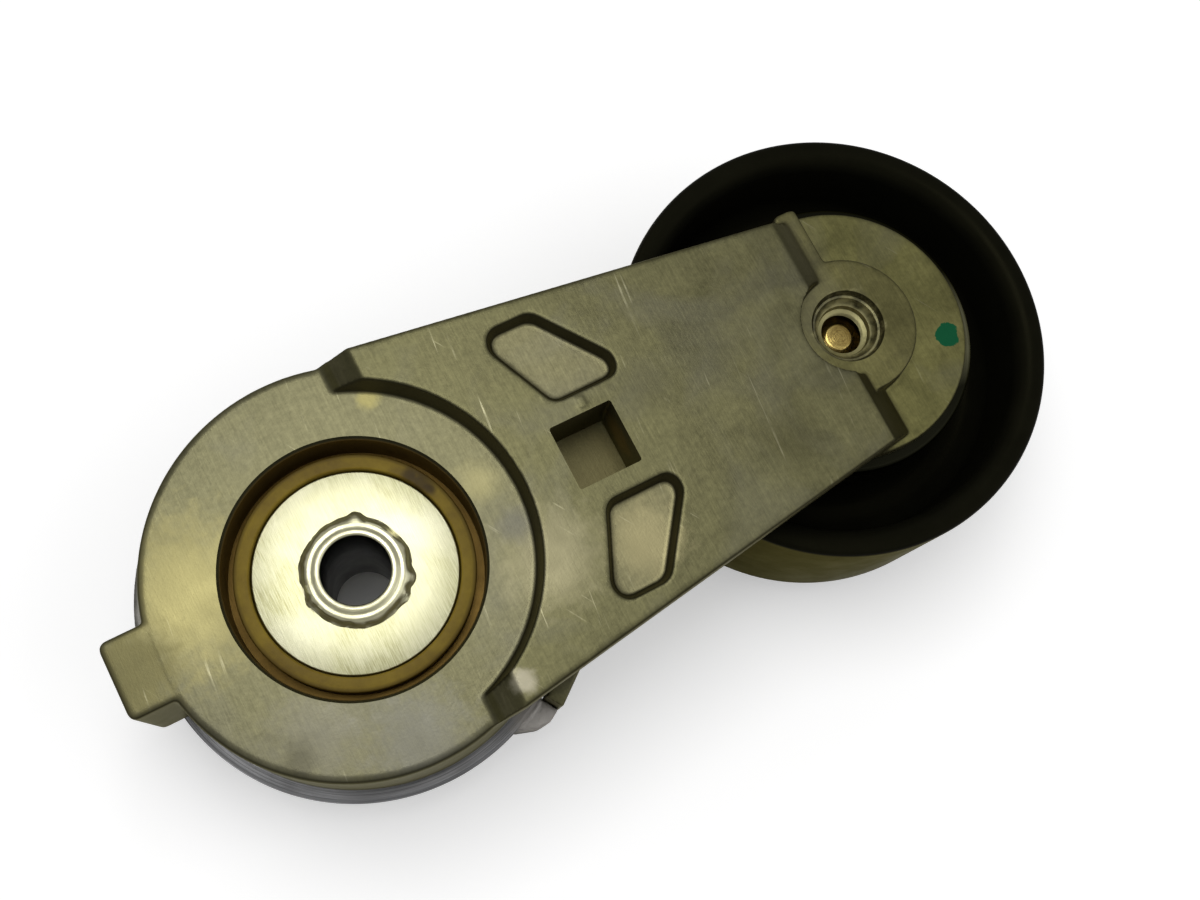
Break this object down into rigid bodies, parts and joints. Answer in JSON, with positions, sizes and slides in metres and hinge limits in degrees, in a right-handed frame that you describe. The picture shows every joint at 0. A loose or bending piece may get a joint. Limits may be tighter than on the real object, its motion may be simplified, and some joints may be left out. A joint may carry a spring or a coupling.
{
  "type": "serpentine belt tensioner",
  "caption": "Spring-loaded cast arm on a fixed round base, carrying a smooth idler pulley on a ball bearing, with a square wrench socket in the arm.",
  "frame": {"origin": "where the pivot axis meets the base's mounting face, which lies against the engine", "axes": "+Z along the pivot axis towards the open front of the arm, +X from the pivot axis to the pulley axis with the arm on its free stop"},
  "size_m": [0.1979, 0.0905, 0.0593],
  "materials": {
    "base_aluminium": "die cast, rim turned bright",
    "pin_steel": "ground",
    "tube_steel": "turned, front end swaged rough",
    "ground_steel": "ground with straight fine lines",
    "bushing_plastic": "moulded",
    "arm_aluminium": "die cast, vibratory finished, fine scratches",
    "amber_plastic": "moulded amber plastic with a smear of grease",
    "spring_steel": "satin coat",
    "bolt_steel": "yellow zinc plated",
    "sleeve_steel": "turned",
    "bearing_steel": "ground",
    "shield_steel": "pressed and plated",
    "black_coat": "smooth semi-gloss black",
    "seal_rubber": "matte",
    "cage_brass": "machined",
    "ball_steel": "polished"
  },
  "bodies": {
    "base": {"base_casting": "base_aluminium", "locating_pin": "pin_steel", "pivot_tube": "tube_steel", "thrust_plate": "ground_steel", "pivot_bushing": "bushing_plastic"},
    "arm": {"arm_casting": "arm_aluminium", "damper_ring": "amber_plastic", "torsion_spring": "spring_steel", "pulley_bolt": "bolt_steel", "bearing_sleeve": "sleeve_steel", "bearing_inner_ring": "bearing_steel", "front_dust_shield": "shield_steel", "rear_dust_shield": "shield_steel"},
    "pulley": {"pulley_shell": "black_coat", "bearing_outer_ring": "bearing_steel", "bearing_seal_front": "seal_rubber", "bearing_seal_rear": "seal_rubber"},
    "bearing_cage": {"ball_cage": "cage_brass", "ball_1": "ball_steel", "ball_2": "ball_steel", "ball_3": "ball_steel", "ball_4": "ball_steel", "ball_5": "ball_steel", "ball_6": "ball_steel", "ball_7": "ball_steel"}
  },
  "joints": [
    {"name": "arm_pivot", "type": "hinge", "parent": "base", "child": "arm", "pos_m": [0, 0, 0], "axis": [0, 0, 1], "range_deg": [0, 48], "stiffness_Nm_per_rad": 28.6, "springref_deg": -40.11, "deforming": ["torsion_spring"]},
    {"name": "pulley_spin", "type": "hinge", "parent": "arm", "child": "pulley", "pos_m": [0.1064, 0, 0.0211], "axis": [0, 0, 1], "continuous": true},
    {"name": "cage_spin", "type": "hinge", "parent": "arm", "child": "bearing_cage", "pos_m": [0.1064, 0, 0.0243], "axis": [0, 0, 1], "continuous": true}
  ],
  "couplings": [
    {"joint": "cage_spin", "follows": "pulley_spin", "ratio": 0.6366}
  ]
}
